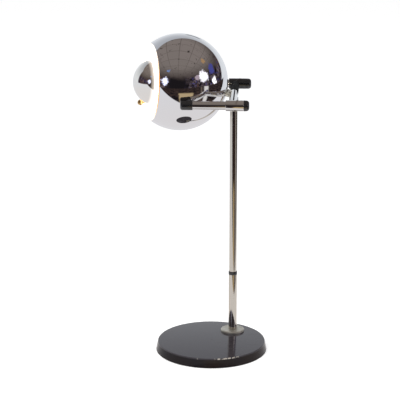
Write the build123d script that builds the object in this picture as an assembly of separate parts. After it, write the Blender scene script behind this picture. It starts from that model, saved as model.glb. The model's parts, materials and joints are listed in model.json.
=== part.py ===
from build123d import *
import math
import os

# An eyeball table lamp: a polished ball shade in a cradle of two bars on a telescopic pole.
# Millimetres, +Z up. X runs to the right and Y away in the lamp's usual view.
# The origin is the centre of the underside, on the table.

# Base
base_bottom_r = 96.0
base_flare = 3.0
base_height = 16.5
cover_wall = 1.5
cover_lift = 0.8
cover_edge_r = 1.2
felt_inset = 6.0
felt_t = 1.5
base_plate_t = 2.0
weight_gap = 1.0
plate_gap = 0.2
flange_r = 20.5
flange_t = 4.0
flange_bevel = 1.2
gland_r = 4.5
gland_bore_r = 3.1
gland_lip_r = 5.6
gland_lip_t = 1.4
gland_length = 9.0
gland_z = 8.6
gland_gap = 0.3
gland_fit = 0.1
gland_stand = 0.5

# Pole
pole_x = 35.5
pole_y = 47.5
lower_tube_r = 7.3
lower_tube_wall = 0.7
lower_tube_top = 123.5
ring_lap = 2.0
ring_lip = 3.8
ring_t = 0.3
slide_fit = 0.05
upper_tube_wall = 1.0
insertion = 42.0
height_travel = 40.0
height_spare = 3.5
guide_plug_t = 3.0
guide_plug_depth = 8.0
foot_stud_r = 5.0
foot_stud_fit = 0.1
foot_nut_flats = 17.0
foot_nut_t = 5.5
foot_washer_r = 10.5
foot_washer_t = 1.2
foot_pocket_gap = 1.0
foot_lead_r = 2.6
tube_end_gap = 0.4

# Cross tube and hub
cross_z = 443.0
cross_r = 7.0
cross_wall = 1.2
hub_r = 7.9
hub_drop = 21.0
hub_seat = 10.0
hub_shoulder = 5.2
hub_lead_r = 3.0
grub_r = 1.5
grub_drop = 15.5
grub_fit = 0.1
screw_stand = 0.2

# Cradle bars, on both sides of the ball
bar_clear = 5.9
rod_r = 7.15
rod_wall = 1.2
rod_fit = 0.05
sleeve_r = 9.15
sleeve_front = 11.0
sleeve_back = 19.0
sleeve_round = 0.6
end_ring_t = 2.5
end_cap_t = 6.5
end_cap_plug = 3.0
end_cap_round = 4.9
end_cap_set = 0.2
plug_gap = 0.1
rod_end_gap = 0.2
rod_back = 15.0
tip_cap_r = 8.0
tip_reach = 86.0
tip_cap_length = 20.5
tip_bore_depth = 8.5
tip_round = 3.4
tip_lip = 0.7
pad_r = 3.0
pad_setback = 8.0
pad_depth = 3.0
sleeve_screw_r = 2.0
sleeve_screw_x = 8.0

# Ball shade
ball_r = 82.3
ball_gap = 10.0
ball_rise = 20.6
ball_wall = 0.8
liner_gap = 0.1
liner_wall = 0.6
opening_r = 65.0
opening_yaw = 17.6
opening_pitch = 3.0
rim_width = 3.0
rim_height = 1.5
rim_round = 0.5

# Hollow stud and slot that carry the ball
stud_r = 3.5
stud_bore_r = 2.3
stud_fit = 0.05
stud_tail = 3.95
seat_r = 6.5
seat_saddle = 1.2
seat_gap = 0.25
slot_half = 4.5
slot_fit = 0.15
guide_half_length = 6.5
guide_flange_r = 10.0
guide_flange_t = 2.4
guide_gap = 0.2
guide_relief = 0.6
washer_r = 8.5
washer_t = 1.2
spring_t = 1.4
spring_r = 7.0
nut_flats = 12.0
nut_t = 4.5
face_gap = 0.05
tilt_back = 75.0
tilt_front = 3.0
slot_end_gap = 0.5
slot_steps = 12

# Bulb and its holder, along the ball's own axis
bulb_r = 40.0
bulb_ahead = 40.0
glass_wall = 1.0
neck_r = 13.4
neck_back = -13.0
neck_straight = 8.0
neck_join = 6.0
screw_cap_r = 12.9
screw_cap_back = -38.0
screw_cap_wall = 0.6
screw_cap_floor = 1.2
stem_disc_t = 1.5
bulb_tip_r = 4.5
bulb_tip_t = 2.2
crown_edge = 53.0
crown_t = 0.25
crown_gap = 0.03
mount_stem_r = 3.4
mount_stem_top = 22.0
filament_ring_r = 8.0
filament_wire_r = 0.45
support_wire_r = 0.5
bridge_z = -50.0
bridge_t = 1.5
bridge_width = 16.0
bridge_foot = 9.0
foot_gap = 0.1
holder_r = 19.0
holder_wall = 1.6
holder_front = -12.0
core_r = 16.6
thread_sleeve_gap = 0.35
thread_sleeve_wall = 0.5
contact_t = 0.6
contact_half = 2.5
contact_reach = 9.0
holder_ring_r = 21.0
holder_ring_t = 5.0
holder_lip = 1.4
thread_setback = 2.0
insulator_depth = 6.0
holder_screw_r = 1.6
holder_screw_y = 11.0
screw_head_r = 2.9
screw_head_t = 1.4
screw_head_gap = 0.2

# Push switch beside the bulb
knob_away = 33.0
knob_down = 42.3
knob_r = 4.8
knob_out = 8.6
switch_r = 7.0
switch_inset = 8.5
switch_length = 24.0
switch_bush_r = 3.0
switch_bush_length = 4.5
switch_nut_flats = 9.0
switch_nut_t = 2.0
switch_stem_r = 1.5
switch_fit = 0.05
switch_stem_depth = 12.0
switch_travel = 3.0
switch_spare = 2.0
bracket_t = 1.2
bracket_width = 14.0
bracket_inset = 8.0
bracket_foot = 8.0

# Sizes worked out from the ones above
base_top_r = base_bottom_r - base_flare
felt_r = base_bottom_r - felt_inset
deck_z = base_height - cover_wall
plate_top = felt_t + base_plate_t
bore_r = lower_tube_r - lower_tube_wall
upper_tube_r = bore_r - slide_fit
upper_tube_bottom = lower_tube_top - insertion
upper_tube_top = cross_z - hub_seat
foot_plug_top = upper_tube_bottom - guide_plug_t - height_travel - height_spare
open_z = math.sqrt(ball_r ** 2 - opening_r ** 2)
shell_in_r = ball_r - ball_wall
liner_out_r = shell_in_r - liner_gap
liner_in_r = liner_out_r - liner_wall
bar_spacing = ball_r + bar_clear
ball_back = ball_r + ball_gap
stud_reach = math.hypot(ball_back, ball_rise)
guide_out_r = liner_in_r - guide_gap
guide_face = guide_out_r - guide_flange_t - guide_relief
washer_face = guide_face - face_gap
nut_face = washer_face - washer_t - spring_t
stud_inner = nut_face - nut_t - stud_tail
switch_front = open_z - switch_inset
switch_top = switch_front + bracket_t
far = 4 * ball_r

# Frames: the pole's head, the ball seen along the stud, and the ball seen along its opening
head = Vector(pole_x, pole_y, cross_z)
ball_centre = head + Vector(-ball_back, 0, ball_rise)
stud_dir = Vector(-ball_back, 0, ball_rise).normalized()
yaw = math.radians(opening_yaw)
pitch = math.radians(opening_pitch)
look = Vector(-math.cos(yaw) * math.cos(pitch), -math.sin(yaw) * math.cos(pitch), math.sin(pitch))
tilt_dir = stud_dir.cross(look).normalized()
stud_plane = Plane(origin=ball_centre, x_dir=tilt_dir.cross(stud_dir), z_dir=stud_dir)
ball_plane = Plane(origin=ball_centre, x_dir=tilt_dir.cross(look), z_dir=look)
rest_angle = stud_dir.get_angle(look)
aside = look.cross(Vector(0, 0, 1)).normalized()
upright = aside.cross(look)
knob_vector = aside * knob_away - upright * knob_down
knob_r_off = knob_vector.length
knob_angle = math.degrees(math.atan2(knob_vector.dot(ball_plane.y_dir), knob_vector.dot(ball_plane.x_dir)))

nodes = {}


def rod(radius, low, high):
    """A solid cylinder on the Z axis from low to high."""
    return Pos(0, 0, (low + high) / 2) * Cylinder(radius, high - low)


def tube(outer, inner, low, high):
    return rod(outer, low, high) - rod(inner, low - 1, high + 1)


def nut(flats, bore, low, high):
    prism = extrude(RegularPolygon(flats / 2, 6, major_radius=False), amount=high - low)
    return Pos(0, 0, low) * prism - rod(bore, low - 1, high + 1)


def slab(low_x, high_x, low_y, high_y, low_z, high_z):
    middle = Pos((low_x + high_x) / 2, (low_y + high_y) / 2, (low_z + high_z) / 2)
    return middle * Box(high_x - low_x, high_y - low_y, high_z - low_z)


def shell(outer, inner):
    return Sphere(outer) - Sphere(inner)


def turned(points):
    """A solid of revolution about Z from an outline of straight runs."""
    outline = Plane.XZ * make_face(Polyline(*points, close=True))
    return revolve(outline, Axis.Z)


def along_x(part, y):
    """Lays a part made on the Z axis along +X, at the head's height and at a distance y from the pole."""
    return Pos(pole_x, pole_y + y, cross_z) * Rot(0, 90, 0) * part


def on_pole(part):
    return Pos(pole_x, pole_y, 0) * part


def make_base():
    top = base_height
    slope = base_flare / (base_height - cover_lift)
    inner_low = base_bottom_r - cover_wall
    inner_high = base_top_r - cover_wall + slope * cover_wall
    outer = turned([(0, cover_lift), (base_bottom_r, cover_lift), (base_top_r, top), (0, top)])
    outer = fillet(outer.edges().group_by(Axis.Z)[-1], cover_edge_r)
    low = cover_lift - 1
    hollow = turned([(0, low), (inner_low + slope, low), (inner_high, deck_z), (0, deck_z)])
    gland_turn = math.degrees(math.atan2(pole_y, pole_x))
    gland_mid_r = base_bottom_r - slope * (gland_z - cover_lift)
    gland_place = Rot(0, 0, gland_turn) * Pos(gland_mid_r, 0, gland_z) * Rot(0, 90, 0)
    inlet = gland_place * rod(gland_r, -gland_length - 2, gland_length)
    cover = outer - hollow - on_pole(rod(lower_tube_r + slide_fit, deck_z - 1, top + 1)) - inlet
    nodes["base_cover"] = cover

    weight_r = min(inner_low, inner_high) - weight_gap
    weight = rod(weight_r, plate_top, deck_z)
    pocket_r = foot_washer_r + foot_pocket_gap
    pocket_top = plate_top + foot_nut_t + foot_washer_t + foot_pocket_gap
    weight -= on_pole(rod(foot_stud_r + foot_stud_fit, plate_top, deck_z + 1))
    weight -= on_pole(rod(pocket_r, plate_top - 1, pocket_top))
    lead_way = gland_r + gland_gap
    reach = gland_mid_r - math.hypot(pole_x, pole_y)
    channel = slab(-reach, gland_length, -lead_way, lead_way, plate_top - 1, gland_z + lead_way)
    weight -= Rot(0, 0, gland_turn) * Pos(gland_mid_r, 0, 0) * channel
    nodes["base_weight"] = weight
    plate_r = base_bottom_r - cover_wall - slope * plate_top - plate_gap
    nodes["base_plate"] = rod(plate_r, felt_t, plate_top)
    nodes["base_felt"] = rod(felt_r, 0, felt_t)

    body = rod(gland_r - gland_fit, -gland_length, gland_stand)
    body += rod(gland_lip_r, gland_stand, gland_stand + gland_lip_t)
    body -= rod(gland_bore_r, -gland_length - 1, gland_lip_t + 2)
    nodes["cord_gland"] = gland_place * body - cover

    flange = rod(flange_r, base_height, base_height + flange_t)
    flange = chamfer(flange.edges().group_by(Axis.Z)[-1], flange_bevel)
    flange -= rod(lower_tube_r + slide_fit, deck_z, base_height + flange_t + 1)
    nodes["pole_flange"] = on_pole(flange)

    washer_top = pocket_top
    washer_low = washer_top - foot_washer_t
    nut_low = washer_low - foot_nut_t
    stud = rod(foot_stud_r, nut_low, deck_z)
    plug = rod(bore_r - slide_fit, deck_z, foot_plug_top)
    plug = plug + stud - rod(foot_lead_r, 0, foot_plug_top + 1)
    nodes["pole_foot"] = on_pole(plug)
    nodes["foot_washer"] = on_pole(tube(foot_washer_r, foot_stud_r + foot_stud_fit, washer_low, washer_top))
    nodes["foot_nut"] = on_pole(nut(foot_nut_flats, foot_stud_r + slide_fit, nut_low, washer_low))


def make_pole():
    nodes["lower_tube"] = on_pole(tube(lower_tube_r, bore_r, deck_z, lower_tube_top))
    ring_low = lower_tube_top - ring_lap
    ring_top = lower_tube_top + ring_lip
    ring = rod(lower_tube_r + ring_t, ring_low, ring_top)
    ring = fillet(ring.edges().group_by(Axis.Z)[-1], ring_t)
    ring = ring - rod(lower_tube_r, ring_low - 1, lower_tube_top) - rod(bore_r, ring_low, ring_top + 1)
    nodes["pole_ring"] = on_pole(ring)

    nodes["upper_tube"] = on_pole(tube(upper_tube_r, upper_tube_r - upper_tube_wall,
                                       upper_tube_bottom, upper_tube_top))
    plug_r = upper_tube_r - upper_tube_wall
    plug_low = upper_tube_bottom - guide_plug_t
    plug_top = upper_tube_bottom + guide_plug_depth
    plug = rod(plug_r, upper_tube_bottom, plug_top) + rod(upper_tube_r, plug_low, upper_tube_bottom)
    nodes["guide_plug"] = on_pole(plug - rod(foot_lead_r, plug_low - 1, plug_top + 1))


def make_head():
    """The hub that turns on the pole, and the cross tube that lies through its saddle."""
    cross = Pos(pole_x, pole_y, cross_z) * Rot(90, 0, 0) * rod(cross_r, -bar_spacing, bar_spacing)
    cross_bore = Pos(pole_x, pole_y, cross_z) * Rot(90, 0, 0) * rod(cross_r - cross_wall, -far, far)
    hub = rod(hub_r, cross_z - hub_drop, cross_z - hub_shoulder)
    hub -= rod(upper_tube_r + slide_fit, cross_z - hub_drop - 1, upper_tube_top + tube_end_gap)
    hub -= rod(hub_lead_r, cross_z - hub_drop, cross_z + 1)
    grub_z = cross_z - grub_drop
    grub = rod(grub_r, upper_tube_r + grub_fit, hub_r + screw_stand)
    grub = on_pole(Pos(0, 0, grub_z) * Rot(-90, 0, 0) * grub)
    hub = on_pole(hub) - cross - grub
    nodes["head_hub"] = hub
    nodes["hub_grub_screw"] = grub

    sleeve_near = along_x(rod(sleeve_r, -sleeve_front, sleeve_back), -bar_spacing)
    sleeve_far = along_x(rod(sleeve_r, -sleeve_front, sleeve_back), bar_spacing)
    way_in = on_pole(rod(hub_lead_r, cross_z - hub_drop, cross_z))
    stud_way = stud_plane * rod(stud_r, -stud_reach, -stud_reach + cross_r + 1)
    nodes["cross_tube"] = cross - cross_bore - sleeve_near - sleeve_far - way_in - stud_way


def make_bar(side, y):
    """One bar of the cradle: sleeve, rod, black tip cap, end ring and domed end cap."""
    bore = rod_r + rod_fit
    screw = Pos(0, 0, sleeve_screw_x) * Rot(0, -90, 0) * rod(sleeve_screw_r, -sleeve_r - screw_stand, -bore)
    sleeve = fillet(rod(sleeve_r, -sleeve_front, sleeve_back).edges(), sleeve_round)
    sleeve -= rod(bore, -sleeve_front - 1, sleeve_back + 1)
    screw_at = along_x(Rot(0, 0, 180) * screw, y)
    nodes[side + "_sleeve"] = along_x(sleeve, y) - screw_at
    rod_front = -(tip_reach - tip_cap_length + tip_bore_depth)
    nodes[side + "_rod"] = along_x(tube(rod_r, rod_r - rod_wall, rod_front + rod_end_gap, rod_back), y)

    cap = rod(tip_cap_r, -tip_reach, -tip_reach + tip_cap_length)
    cap = fillet(cap.edges().group_by(Axis.Z)[0], tip_round)
    cap = chamfer(cap.edges().group_by(Axis.Z)[-1], tip_lip)
    cap -= rod(bore, rod_front, -tip_reach + tip_cap_length + 1)
    cap_at = along_x(cap, y)
    start = head + Vector(-tip_reach + pad_setback, y, 0)
    inward = (ball_centre - start).normalized()
    length = (ball_centre - start).length
    pad_plane = Plane(origin=start, z_dir=inward)
    pad = pad_plane * rod(pad_r, tip_cap_r - pad_depth, length - ball_r + pad_r)
    pad -= Pos(*ball_centre) * Sphere(ball_r + seat_gap)
    hole = pad_plane * rod(pad_r, tip_cap_r - pad_depth, far)
    nodes[side + "_tip_cap"] = cap_at - hole

    ring_back = sleeve_back + end_ring_t
    plug_r = bore - plug_gap
    plug = rod(plug_r, sleeve_back - end_cap_plug, ring_back)
    nodes[side + "_end_ring"] = along_x(tube(sleeve_r, plug_r, sleeve_back, ring_back), y)
    dome = rod(sleeve_r - end_cap_set, ring_back, ring_back + end_cap_t)
    dome = fillet(dome.edges().group_by(Axis.Z)[-1], end_cap_round)
    nodes[side + "_end_cap"] = along_x(dome + plug, y)
    return pad, screw_at


def make_stud():
    """The hollow stud from the cross tube into the ball, with its seat, washers and nut."""
    cross = Pos(pole_x, pole_y, cross_z) * Rot(90, 0, 0) * rod(cross_r, -bar_spacing, bar_spacing)
    lead_way = on_pole(rod(hub_lead_r, cross_z - hub_drop, cross_z))
    stud = stud_plane * tube(stud_r, stud_bore_r, -stud_reach + 1, -stud_inner)
    nodes["ball_stud"] = stud - lead_way
    seat = rod(seat_r, -stud_reach + cross_r - seat_saddle, -ball_r + 1)
    seat -= rod(stud_r + stud_fit, -far, 0)
    seat = stud_plane * (seat - Sphere(ball_r + seat_gap))
    nodes["stud_seat"] = seat - cross

    bore = stud_r + stud_fit
    half = slot_half - slot_fit
    shoulder = slab(-guide_half_length, guide_half_length, -half, half, -ball_r, -guide_face - 1)
    shoulder = shoulder & Sphere(ball_r - face_gap)
    flange = rod(guide_flange_r, -ball_r, -guide_face) & Sphere(guide_out_r)
    nodes["slot_guide"] = stud_plane * (shoulder + flange - rod(bore, -far, 0))
    washer_low = -washer_face
    spring_low = washer_low + washer_t
    nut_low = -nut_face
    nodes["friction_washer"] = stud_plane * tube(washer_r, bore, washer_low, spring_low)
    nodes["spring_washer"] = stud_plane * tube(spring_r, bore, spring_low, nut_low)
    nodes["stud_nut"] = stud_plane * nut(nut_flats, bore, nut_low, nut_low + nut_t)


def slot_cutter():
    """The slot at the ball's back: a straight-sided way that follows the ball's curve."""
    end = math.degrees(guide_half_length / (ball_r - ball_wall)) + slot_end_gap
    high = rest_angle + tilt_front + end
    low = rest_angle - tilt_back - end
    corners = [(0.0, 0.0)]
    for i in range(slot_steps + 1):
        angle = math.radians(low + (high - low) * i / slot_steps)
        corners.append((far * math.sin(angle), -far * math.cos(angle)))
    sector = Plane.XZ * make_face(Polyline(*corners, close=True))
    return extrude(sector, amount=slot_half, both=True)


def make_ball():
    below = slab(-far, far, -far, far, -far, open_z)
    slot = slot_cutter()
    nodes["shade_ball"] = ball_plane * ((shell(ball_r, shell_in_r) & below) - slot)
    nodes["shade_liner"] = ball_plane * ((shell(liner_out_r, liner_in_r) & below) - slot)
    rim = tube(opening_r, opening_r - rim_width, open_z, open_z + rim_height)
    rim = fillet(rim.edges().group_by(Axis.Z)[-1], rim_round)
    nodes["shade_rim"] = ball_plane * rim


def make_holder():
    """The strap across the ball and the lampholder on it."""
    foot_out = liner_in_r - foot_gap
    foot_in = foot_out - bridge_t
    half = bridge_width / 2
    reach = math.sqrt(foot_in ** 2 - bridge_z ** 2)
    strap = slab(-half, half, -reach - 1, reach + 1, bridge_z - bridge_t, bridge_z) & Sphere(foot_out)
    band = slab(-half, half, -far, far, bridge_z - bridge_t, bridge_z + bridge_foot)
    strap += shell(foot_out, foot_in) & band
    screws = [Pos(0, side * holder_screw_y, 0) * rod(holder_screw_r, bridge_z - bridge_t,
                                                     bridge_z + holder_wall) for side in (-1, 1)]
    cup_floor = bridge_z + holder_wall
    heads = [Pos(0, side * holder_screw_y, 0) * rod(screw_head_r, cup_floor, cup_floor + screw_head_t)
             for side in (-1, 1)]
    lead = rod(hub_lead_r, -far, 0)
    strap -= lead
    for screw in screws:
        strap -= screw
    nodes["holder_bridge"] = ball_plane * strap
    cup = tube(holder_r, holder_r - holder_wall, bridge_z, holder_front)
    cup += rod(holder_r, bridge_z, bridge_z + holder_wall) - lead
    cup = cup - screws[0] - screws[1]
    nodes["holder_shell"] = ball_plane * cup
    nodes["holder_screws"] = ball_plane * Compound([screws[0] + heads[0], screws[1] + heads[1]])
    core_low = bridge_z + holder_wall
    core_top = screw_cap_back - bulb_tip_t - contact_t
    core = rod(core_r, core_low, core_top) - lead
    for side in (-1, 1):
        pocket = rod(screw_head_r + screw_head_gap, core_low - 1, core_low + screw_head_t + screw_head_gap)
        core -= Pos(0, side * holder_screw_y, 0) * pocket
    nodes["holder_core"] = ball_plane * core
    sleeve_in = screw_cap_r + thread_sleeve_gap
    sleeve_out = sleeve_in + thread_sleeve_wall
    nodes["holder_thread"] = ball_plane * tube(sleeve_out, sleeve_in, core_top, holder_front - thread_setback)
    contact = slab(-contact_half, contact_reach, -contact_half, contact_half,
                   core_top, core_top + contact_t - face_gap)
    nodes["holder_contact"] = ball_plane * contact
    ring = tube(holder_ring_r, holder_r, holder_front - holder_ring_t, holder_front)
    lip = tube(holder_ring_r, neck_r + holder_lip, holder_front, holder_front + holder_lip)
    insulator = tube(holder_r - holder_wall, sleeve_out, holder_front - insulator_depth, holder_front)
    nodes["holder_ring"] = ball_plane * (ring + lip)
    nodes["holder_insulator"] = ball_plane * insulator


def make_bulb():
    centre = bulb_ahead
    drop = centre - neck_join
    join_r = math.sqrt(bulb_r ** 2 - drop ** 2)

    def glass_body(offset):
        globe = Pos(0, 0, centre) * Sphere(bulb_r - offset)
        slope = [(0, neck_back), (neck_r - offset, neck_back), (neck_r - offset, neck_back + neck_straight),
                 (join_r - offset, neck_join), (0, neck_join)]
        return globe + turned(slope)

    glass = glass_body(0) - glass_body(glass_wall)
    nodes["bulb_glass"] = ball_plane * glass
    crown = Pos(0, 0, centre) * shell(bulb_r + crown_t + crown_gap, bulb_r + crown_gap)
    crown &= slab(-far, far, -far, far, crown_edge, far)
    nodes["bulb_crown"] = ball_plane * crown
    cap = rod(screw_cap_r, screw_cap_back, neck_back)
    cap -= rod(screw_cap_r - screw_cap_wall, screw_cap_back + screw_cap_floor, neck_back + 1)
    nodes["bulb_cap"] = ball_plane * cap
    nodes["bulb_tip"] = ball_plane * rod(bulb_tip_r, screw_cap_back - bulb_tip_t, screw_cap_back)
    stem = rod(mount_stem_r, neck_back, mount_stem_top)
    stem += rod(neck_r - glass_wall, neck_back, neck_back + stem_disc_t)
    nodes["bulb_stem"] = ball_plane * stem
    wire = Torus(filament_ring_r, filament_wire_r)
    wire = Pos(0, 0, centre) * wire
    posts = [Pos(side * filament_ring_r, 0, 0) * rod(support_wire_r, mount_stem_top, centre)
             for side in (-1, 1)]
    arms = slab(-filament_ring_r, filament_ring_r, -support_wire_r, support_wire_r,
                mount_stem_top, mount_stem_top + 2 * support_wire_r)
    nodes["bulb_filament"] = ball_plane * (wire + posts[0] + posts[1] + arms)


def make_switch():
    """The push switch on its bracket at the ball's mouth, and its brass knob."""
    place = ball_plane * Rot(0, 0, knob_angle)
    centre = Pos(knob_r_off, 0, 0)
    bush_top = switch_top + switch_bush_length
    stem_low = switch_top - switch_stem_depth
    bore_low = stem_low - switch_travel - switch_spare
    body = rod(switch_r, switch_front - switch_length, switch_front)
    body += rod(switch_bush_r, switch_front, bush_top)
    body -= rod(switch_stem_r + switch_fit, bore_low, bush_top + 1)
    nodes["switch_body"] = place * centre * body
    nodes["switch_nut"] = place * centre * nut(switch_nut_flats, switch_bush_r + switch_fit, switch_top,
                                               switch_top + switch_nut_t)
    foot_out = liner_in_r - foot_gap
    foot_in = foot_out - bracket_t
    half = bracket_width / 2
    inner = knob_r_off - bracket_inset
    arm = slab(inner, far, -half, half, switch_front, switch_top) & Sphere(foot_out)
    foot = slab(inner, far, -half, half, switch_front - bracket_foot, switch_top)
    foot = foot & shell(foot_out, foot_in)
    bracket = arm + foot - centre * rod(switch_bush_r + switch_fit, 0, far)
    nodes["switch_bracket"] = place * bracket
    knob_z = open_z + knob_out
    knob = Pos(0, 0, knob_z) * Sphere(knob_r) - rod(switch_stem_r, 0, knob_z)
    nodes["switch_knob"] = place * centre * knob
    nodes["switch_stem"] = place * centre * rod(switch_stem_r, stem_low, knob_z)


make_base()
make_pole()
make_head()
pads = []
screws = []
for side, y in (("near", -bar_spacing), ("far", bar_spacing)):
    pad, screw = make_bar(side, y)
    pads.append(pad)
    screws.append(screw)
nodes["cradle_pads"] = Compound(pads)
nodes["sleeve_screws"] = Compound(screws)
make_stud()
make_ball()
make_holder()
make_bulb()
make_switch()

os.makedirs("parts", exist_ok=True)
for name, part in nodes.items():
    export_step(part, f"parts/{name}.step")
print("ball centre", [round(c, 3) for c in ball_centre])
print("stud direction", [round(c, 5) for c in stud_dir])
print("tilt direction", [round(c, 5) for c in tilt_dir])
print("opening direction", [round(c, 5) for c in look])
print("rest angle", round(rest_angle, 3), "knob offset", round(knob_r_off, 3), "angle", round(knob_angle, 3))
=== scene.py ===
import bpy
import json
import math
from mathutils import Matrix, Vector


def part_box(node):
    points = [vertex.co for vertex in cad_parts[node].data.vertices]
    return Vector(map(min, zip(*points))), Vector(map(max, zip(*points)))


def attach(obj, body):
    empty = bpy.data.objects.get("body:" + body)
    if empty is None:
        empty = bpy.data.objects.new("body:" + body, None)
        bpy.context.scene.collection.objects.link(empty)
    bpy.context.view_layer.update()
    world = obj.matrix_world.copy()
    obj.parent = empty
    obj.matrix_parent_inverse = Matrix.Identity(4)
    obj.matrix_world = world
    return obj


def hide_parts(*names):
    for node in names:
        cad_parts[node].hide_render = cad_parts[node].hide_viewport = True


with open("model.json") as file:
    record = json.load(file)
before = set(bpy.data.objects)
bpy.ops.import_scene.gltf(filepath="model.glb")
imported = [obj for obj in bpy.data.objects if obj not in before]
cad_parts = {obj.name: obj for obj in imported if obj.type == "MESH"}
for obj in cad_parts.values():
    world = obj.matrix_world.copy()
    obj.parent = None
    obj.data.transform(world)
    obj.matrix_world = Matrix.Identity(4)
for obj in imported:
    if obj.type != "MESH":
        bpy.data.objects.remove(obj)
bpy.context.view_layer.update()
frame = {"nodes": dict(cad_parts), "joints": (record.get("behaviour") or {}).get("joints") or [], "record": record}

# The lamp's own places: its joints, and the boxes of its nodes
joints = {j["name"]: j for j in frame["joints"]}
ball_centre = Vector(joints["shade_tilt"]["pos_m"])
stud_dir = Vector(joints["shade_roll"]["axis"]).normalized()
tilt_dir = Vector(joints["shade_tilt"]["axis"]).normalized()
look = -Vector(joints["switch_press"]["axis"]).normalized()
tilt_range = joints["shade_tilt"]["range_deg"]
rest_angle = math.degrees(stud_dir.angle(look))
pole_low, pole_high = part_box("upper_tube")
pole_x = (pole_low.x + pole_high.x) / 2
pole_y = (pole_low.y + pole_high.y) / 2
head_z = joints["head_swivel"]["pos_m"][2]
base_top_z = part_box("base_cover")[1].z
bodies = frame["record"]["behaviour"]["bodies"]
body_of = {node: body for body, group in bodies.items() for node in group}
slot_of = {part["node"]: part["material_slot"] for part in frame["record"]["subparts"]}

# Sizes in metres that the boxes don't give
MM = 0.001
sliding_gap = 0.05 * MM
point_r = 0.01 * MM

# The ball, its lining, mouth, rim and slot
ball_r = 82.3 * MM
ball_wall = 0.8 * MM
liner_r = 81.4 * MM
liner_wall = 0.6 * MM
opening_r = 65.0 * MM
open_z = math.sqrt(ball_r ** 2 - opening_r ** 2)
rim_width = 3.0 * MM
rim_height = 1.5 * MM
rim_bead = rim_height * 0.42
slot_half = 4.5 * MM
guide_half = 6.5 * MM
slot_spare_deg = 0.5

# The bulb, its silvered crown and the switch knob, along the ball's own axis
bulb_r = 40.0 * MM
bulb_ahead = 40.0 * MM
neck_r = 13.4 * MM
neck_back = -13.0 * MM
neck_straight = 8.0 * MM
neck_join = 6.0 * MM
crown_edge = 53.0 * MM
crown_t = 0.25 * MM
crown_wall = crown_t * 0.85
knob_r = 4.8 * MM
knob_foot_r = knob_r * 0.55 * 0.8
knob_foot_deg = -62

# The base and the flange on it
base_top_r = 93.0 * MM
base_edge = 1.2 * MM
base_foot_edge = 0.3 * MM
deck_wall = 1.5 * MM
flange_bevel = 1.2 * MM
flange_foot_edge = 0.2 * MM
flange_edge = 0.15 * MM

# The side of the base that has been knocked, at the front right
knock_side = (0.35, -0.937, 0.0)

# The pole, the cross tube and the bars
tube_wall = 1.0 * MM
outer_tube_wall = 0.7 * MM
tube_edge_share = 0.35
ring_bead = 0.9 * MM
collar_wall = 0.35 * MM
collar_start = 8.6 * MM
collar_edge = ring_bead * 0.3
sleeve_edge = 0.6 * MM
tip_nose = 3.4 * MM
tip_lip = 0.7 * MM
tip_depth = 12.5 * MM
end_bead = 0.5 * MM
end_dome = 4.9 * MM
end_plug = 3.0 * MM
end_plug_gap = 0.1 * MM

# How finely the pieces are divided, smoothed and joined up
ball_sides = 256
ball_rings = 128
base_sides = 256
rim_sides = 192
tube_sides = 128
cap_sides = 96
knob_sides = 64
smooth_deg = 35.0
globe_smooth_deg = 40.0
small_smooth_deg = 30.0
bevel_deg = 40.0
turned_weld = 1e-7
skin_weld = 2e-6
small_weld = 1e-6
lid_corners = 20

# The camera stands where it fits the base's ellipse, the pole and the ball of the photograph
camera_azimuth = 2.718
camera_elevation = 15.969
camera_distance = 2.831
camera_aim = Vector((-0.0198, 0.0, 0.2691))
camera_focal_px = 1663.9
photo_width_px = 400
sensor_width = 36.0

# The backdrop sheet stands askew behind the lamp. These are the side and depth shares of its facing
# direction, its height for its distance, the side where it ends, and the softness of its edges.
sheet_side = 0.57
sheet_ahead = 0.82
backdrop_rise = 1.136
sheet_end_side = (0.12, 0.99, 0.0)
sheet_blur = 0.03

# A dark stand in front of the sheet: its turn, and its height and half sizes for its distance
stand_turn = 0.07
stand_height = 0.21
stand_half_wide = 0.07
stand_half_tall = 0.04

# Ceiling panels, for their height above the lamp
panel_size = 0.42
panel_joint = 0.012
ceiling_low = 0.05

# Windows that mirror finishes see: azimuth, elevation and size in degrees, and colour
windows = (
    (-32.0, 11.5, 8.0, (1.25, 1.3, 1.7)),
    (-29.0, 36.0, 2.6, (0.2, 0.3, 0.6)),
    (66.0, 17.0, 11.0, (1.35, 1.3, 1.4)),
    (94.0, 2.0, 6.0, (1.7, 1.65, 1.7)),
    (48.0, 18.0, 4.5, (0.45, 0.36, 0.42)),
    (97.0, 22.0, 8.0, (0.07, 0.075, 0.3)),
    (89.0, 43.0, 4.0, (0.4, 0.25, 0.13)),
    (30.0, -8.0, 4.0, (0.3, 0.13, 0.05)),
)
ragged_edge = 0.3
surround_level = 0.6

# The floor sheet's slanted front edge, and lit patches on the floor: azimuth and half width in
# degrees, reach in metres, and colour
diagonal = math.sqrt(0.5)
sheet_front = -0.41
sheet_front_blur = 0.02
floor_patches = (
    (17.0, 18.0, 1.7, (0.5, 0.38, 0.22)),
    (69.0, 6.0, 9.0, (0.75, 0.72, 0.7)),
    (56.0, 1.5, 9.0, (0.2, 0.16, 0.13)),
)
patch_fray = 0.16
floor_size = 14.0
floor_lift = 0.42


# Modelling helpers

def nothing_selected():
    if bpy.context.object and bpy.context.object.mode != "OBJECT":
        bpy.ops.object.mode_set(mode="OBJECT")
    bpy.ops.object.select_all(action="DESELECT")


def picked(obj):
    nothing_selected()
    obj.select_set(True)
    bpy.context.view_layer.objects.active = obj


def smoothed(degrees=smooth_deg):
    bpy.ops.object.shade_smooth_by_angle(angle=math.radians(degrees))


def arc(centre_r, centre_z, radius, start, end, steps):
    """Outline points on an arc, with the angle in degrees measured from the radial direction."""
    points = []
    for i in range(steps + 1):
        angle = math.radians(start + (end - start) * i / steps)
        points.append((centre_r + radius * math.cos(angle), centre_z + radius * math.sin(angle)))
    return points


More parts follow.
